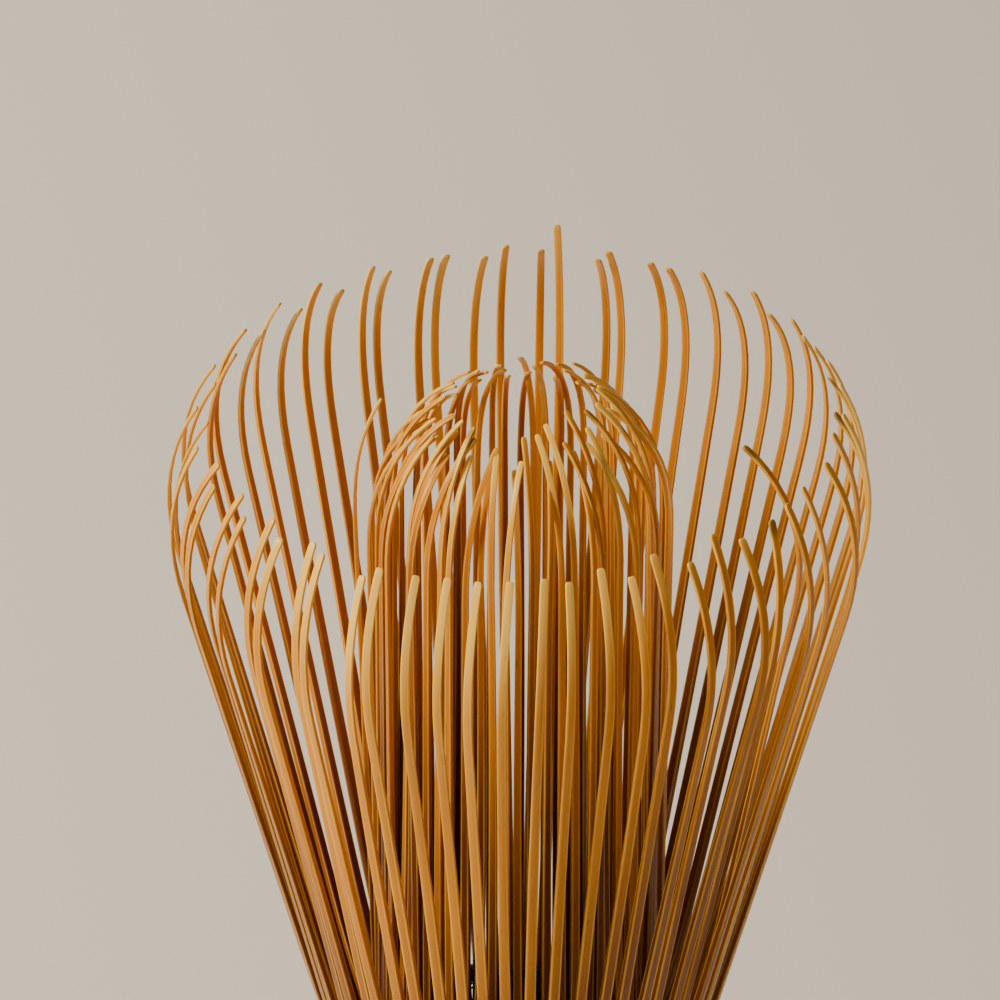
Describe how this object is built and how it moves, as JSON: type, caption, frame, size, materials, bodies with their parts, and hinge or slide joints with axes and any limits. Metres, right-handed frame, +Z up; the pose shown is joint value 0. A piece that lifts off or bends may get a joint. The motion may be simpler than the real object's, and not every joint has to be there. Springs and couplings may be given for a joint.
{
  "type": "bamboo tea whisk",
  "caption": "Whisk split from one culm of bamboo: a round handle, an outer ring of tines that curl in at the tips, an inner domed ring, and a thread woven at their root.",
  "frame": {"origin": "centre of the handle's foot", "axes": "+Z runs up the axis of the whisk, from the foot to the tips of the tines; +X is to the right and +Y to the back in the front view"},
  "size_m": [0.0532, 0.0532, 0.1189],
  "materials": {
    "bamboo_culm": "smooth dried bamboo skin, satin",
    "bamboo_outer_tines": "split bamboo, pared thin and paler at the tips, satin",
    "bamboo_inner_tines": "split bamboo, golden, satin",
    "cotton_thread": "twisted black cotton thread, matt"
  },
  "bodies": {
    "handle": {"handle_culm": "bamboo_culm", "thread_lower_row": "cotton_thread", "thread_upper_row": "cotton_thread", "thread_spacer": "cotton_thread", "thread_knot": "cotton_thread"},
    "outer_split_01": {"outer_tines_01": "bamboo_outer_tines"},
    "outer_split_02": {"outer_tines_02": "bamboo_outer_tines"},
    "outer_split_03": {"outer_tines_03": "bamboo_outer_tines"},
    "outer_split_04": {"outer_tines_04": "bamboo_outer_tines"},
    "outer_split_05": {"outer_tines_05": "bamboo_outer_tines"},
    "outer_split_06": {"outer_tines_06": "bamboo_outer_tines"},
    "outer_split_07": {"outer_tines_07": "bamboo_outer_tines"},
    "outer_split_08": {"outer_tines_08": "bamboo_outer_tines"},
    "outer_split_09": {"outer_tines_09": "bamboo_outer_tines"},
    "outer_split_10": {"outer_tines_10": "bamboo_outer_tines"},
    "outer_split_11": {"outer_tines_11": "bamboo_outer_tines"},
    "outer_split_12": {"outer_tines_12": "bamboo_outer_tines"},
    "outer_split_13": {"outer_tines_13": "bamboo_outer_tines"},
    "outer_split_14": {"outer_tines_14": "bamboo_outer_tines"},
    "outer_split_15": {"outer_tines_15": "bamboo_outer_tines"},
    "outer_split_16": {"outer_tines_16": "bamboo_outer_tines"},
    "inner_split_01": {"inner_tines_01": "bamboo_inner_tines"},
    "inner_split_02": {"inner_tines_02": "bamboo_inner_tines"},
    "inner_split_03": {"inner_tines_03": "bamboo_inner_tines"},
    "inner_split_04": {"inner_tines_04": "bamboo_inner_tines"},
    "inner_split_05": {"inner_tines_05": "bamboo_inner_tines"},
    "inner_split_06": {"inner_tines_06": "bamboo_inner_tines"},
    "inner_split_07": {"inner_tines_07": "bamboo_inner_tines"},
    "inner_split_08": {"inner_tines_08": "bamboo_inner_tines"},
    "inner_split_09": {"inner_tines_09": "bamboo_inner_tines"},
    "inner_split_10": {"inner_tines_10": "bamboo_inner_tines"},
    "inner_split_11": {"inner_tines_11": "bamboo_inner_tines"},
    "inner_split_12": {"inner_tines_12": "bamboo_inner_tines"},
    "inner_split_13": {"inner_tines_13": "bamboo_inner_tines"},
    "inner_split_14": {"inner_tines_14": "bamboo_inner_tines"},
    "inner_split_15": {"inner_tines_15": "bamboo_inner_tines"},
    "inner_split_16": {"inner_tines_16": "bamboo_inner_tines"}
  },
  "joints": [
    {"name": "outer_flex_01", "type": "hinge", "parent": "handle", "child": "outer_split_01", "pos_m": [0.0135, 0, 0.0535], "axis": [0, 1, 0], "range_deg": [-3, 6], "stiffness_Nm_per_rad": 0.012},
    {"name": "outer_flex_02", "type": "hinge", "parent": "handle", "child": "outer_split_02", "pos_m": [0.01247, 0.00517, 0.0535], "axis": [-0.3827, 0.9239, 0], "range_deg": [-3, 6], "stiffness_Nm_per_rad": 0.012},
    {"name": "outer_flex_03", "type": "hinge", "parent": "handle", "child": "outer_split_03", "pos_m": [0.00955, 0.00955, 0.0535], "axis": [-0.7071, 0.7071, 0], "range_deg": [-3, 6], "stiffness_Nm_per_rad": 0.012},
    {"name": "outer_flex_04", "type": "hinge", "parent": "handle", "child": "outer_split_04", "pos_m": [0.00517, 0.01247, 0.0535], "axis": [-0.9239, 0.3827, 0], "range_deg": [-3, 6], "stiffness_Nm_per_rad": 0.012},
    {"name": "outer_flex_05", "type": "hinge", "parent": "handle", "child": "outer_split_05", "pos_m": [0, 0.0135, 0.0535], "axis": [-1, 0, 0], "range_deg": [-3, 6], "stiffness_Nm_per_rad": 0.012},
    {"name": "outer_flex_06", "type": "hinge", "parent": "handle", "child": "outer_split_06", "pos_m": [-0.00517, 0.01247, 0.0535], "axis": [-0.9239, -0.3827, 0], "range_deg": [-3, 6], "stiffness_Nm_per_rad": 0.012},
    {"name": "outer_flex_07", "type": "hinge", "parent": "handle", "child": "outer_split_07", "pos_m": [-0.00955, 0.00955, 0.0535], "axis": [-0.7071, -0.7071, 0], "range_deg": [-3, 6], "stiffness_Nm_per_rad": 0.012},
    {"name": "outer_flex_08", "type": "hinge", "parent": "handle", "child": "outer_split_08", "pos_m": [-0.01247, 0.00517, 0.0535], "axis": [-0.3827, -0.9239, 0], "range_deg": [-3, 6], "stiffness_Nm_per_rad": 0.012},
    {"name": "outer_flex_09", "type": "hinge", "parent": "handle", "child": "outer_split_09", "pos_m": [-0.0135, 0, 0.0535], "axis": [0, -1, 0], "range_deg": [-3, 6], "stiffness_Nm_per_rad": 0.012},
    {"name": "outer_flex_10", "type": "hinge", "parent": "handle", "child": "outer_split_10", "pos_m": [-0.01247, -0.00517, 0.0535], "axis": [0.3827, -0.9239, 0], "range_deg": [-3, 6], "stiffness_Nm_per_rad": 0.012},
    {"name": "outer_flex_11", "type": "hinge", "parent": "handle", "child": "outer_split_11", "pos_m": [-0.00955, -0.00955, 0.0535], "axis": [0.7071, -0.7071, 0], "range_deg": [-3, 6], "stiffness_Nm_per_rad": 0.012},
    {"name": "outer_flex_12", "type": "hinge", "parent": "handle", "child": "outer_split_12", "pos_m": [-0.00517, -0.01247, 0.0535], "axis": [0.9239, -0.3827, 0], "range_deg": [-3, 6], "stiffness_Nm_per_rad": 0.012},
    {"name": "outer_flex_13", "type": "hinge", "parent": "handle", "child": "outer_split_13", "pos_m": [0, -0.0135, 0.0535], "axis": [1, 0, 0], "range_deg": [-3, 6], "stiffness_Nm_per_rad": 0.012},
    {"name": "outer_flex_14", "type": "hinge", "parent": "handle", "child": "outer_split_14", "pos_m": [0.00517, -0.01247, 0.0535], "axis": [0.9239, 0.3827, 0], "range_deg": [-3, 6], "stiffness_Nm_per_rad": 0.012},
    {"name": "outer_flex_15", "type": "hinge", "parent": "handle", "child": "outer_split_15", "pos_m": [0.00955, -0.00955, 0.0535], "axis": [0.7071, 0.7071, 0], "range_deg": [-3, 6], "stiffness_Nm_per_rad": 0.012},
    {"name": "outer_flex_16", "type": "hinge", "parent": "handle", "child": "outer_split_16", "pos_m": [0.01247, -0.00517, 0.0535], "axis": [0.3827, 0.9239, 0], "range_deg": [-3, 6], "stiffness_Nm_per_rad": 0.012},
    {"name": "inner_flex_01", "type": "hinge", "parent": "handle", "child": "inner_split_01", "pos_m": [0.01139, 0.00056, 0.0535], "axis": [-0.0491, 0.9988, 0], "range_deg": [-0.3, 5], "stiffness_Nm_per_rad": 0.009},
    {"name": "inner_flex_02", "type": "hinge", "parent": "handle", "child": "inner_split_02", "pos_m": [0.0103, 0.00487, 0.0535], "axis": [-0.4276, 0.904, 0], "range_deg": [-0.3, 5], "stiffness_Nm_per_rad": 0.009},
    {"name": "inner_flex_03", "type": "hinge", "parent": "handle", "child": "inner_split_03", "pos_m": [0.00766, 0.00845, 0.0535], "axis": [-0.741, 0.6716, 0], "range_deg": [-0.3, 5], "stiffness_Nm_per_rad": 0.009},
    {"name": "inner_flex_04", "type": "hinge", "parent": "handle", "child": "inner_split_04", "pos_m": [0.00384, 0.01073, 0.0535], "axis": [-0.9415, 0.3369, 0], "range_deg": [-0.3, 5], "stiffness_Nm_per_rad": 0.009},
    {"name": "inner_flex_05", "type": "hinge", "parent": "handle", "child": "inner_split_05", "pos_m": [-0.00056, 0.01139, 0.0535], "axis": [-0.9988, -0.0491, 0], "range_deg": [-0.3, 5], "stiffness_Nm_per_rad": 0.009},
    {"name": "inner_flex_06", "type": "hinge", "parent": "handle", "child": "inner_split_06", "pos_m": [-0.00487, 0.0103, 0.0535], "axis": [-0.904, -0.4276, 0], "range_deg": [-0.3, 5], "stiffness_Nm_per_rad": 0.009},
    {"name": "inner_flex_07", "type": "hinge", "parent": "handle", "child": "inner_split_07", "pos_m": [-0.00845, 0.00766, 0.0535], "axis": [-0.6716, -0.741, 0], "range_deg": [-0.3, 5], "stiffness_Nm_per_rad": 0.009},
    {"name": "inner_flex_08", "type": "hinge", "parent": "handle", "child": "inner_split_08", "pos_m": [-0.01073, 0.00384, 0.0535], "axis": [-0.3369, -0.9415, 0], "range_deg": [-0.3, 5], "stiffness_Nm_per_rad": 0.009},
    {"name": "inner_flex_09", "type": "hinge", "parent": "handle", "child": "inner_split_09", "pos_m": [-0.01139, -0.00056, 0.0535], "axis": [0.0491, -0.9988, 0], "range_deg": [-0.3, 5], "stiffness_Nm_per_rad": 0.009},
    {"name": "inner_flex_10", "type": "hinge", "parent": "handle", "child": "inner_split_10", "pos_m": [-0.0103, -0.00487, 0.0535], "axis": [0.4276, -0.904, 0], "range_deg": [-0.3, 5], "stiffness_Nm_per_rad": 0.009},
    {"name": "inner_flex_11", "type": "hinge", "parent": "handle", "child": "inner_split_11", "pos_m": [-0.00766, -0.00845, 0.0535], "axis": [0.741, -0.6716, 0], "range_deg": [-0.3, 5], "stiffness_Nm_per_rad": 0.009},
    {"name": "inner_flex_12", "type": "hinge", "parent": "handle", "child": "inner_split_12", "pos_m": [-0.00384, -0.01073, 0.0535], "axis": [0.9415, -0.3369, 0], "range_deg": [-0.3, 5], "stiffness_Nm_per_rad": 0.009},
    {"name": "inner_flex_13", "type": "hinge", "parent": "handle", "child": "inner_split_13", "pos_m": [0.00056, -0.01139, 0.0535], "axis": [0.9988, 0.0491, 0], "range_deg": [-0.3, 5], "stiffness_Nm_per_rad": 0.009},
    {"name": "inner_flex_14", "type": "hinge", "parent": "handle", "child": "inner_split_14", "pos_m": [0.00487, -0.0103, 0.0535], "axis": [0.904, 0.4276, 0], "range_deg": [-0.3, 5], "stiffness_Nm_per_rad": 0.009},
    {"name": "inner_flex_15", "type": "hinge", "parent": "handle", "child": "inner_split_15", "pos_m": [0.00845, -0.00766, 0.0535], "axis": [0.6716, 0.741, 0], "range_deg": [-0.3, 5], "stiffness_Nm_per_rad": 0.009},
    {"name": "inner_flex_16", "type": "hinge", "parent": "handle", "child": "inner_split_16", "pos_m": [0.01073, -0.00384, 0.0535], "axis": [0.3369, 0.9415, 0], "range_deg": [-0.3, 5], "stiffness_Nm_per_rad": 0.009}
  ]
}
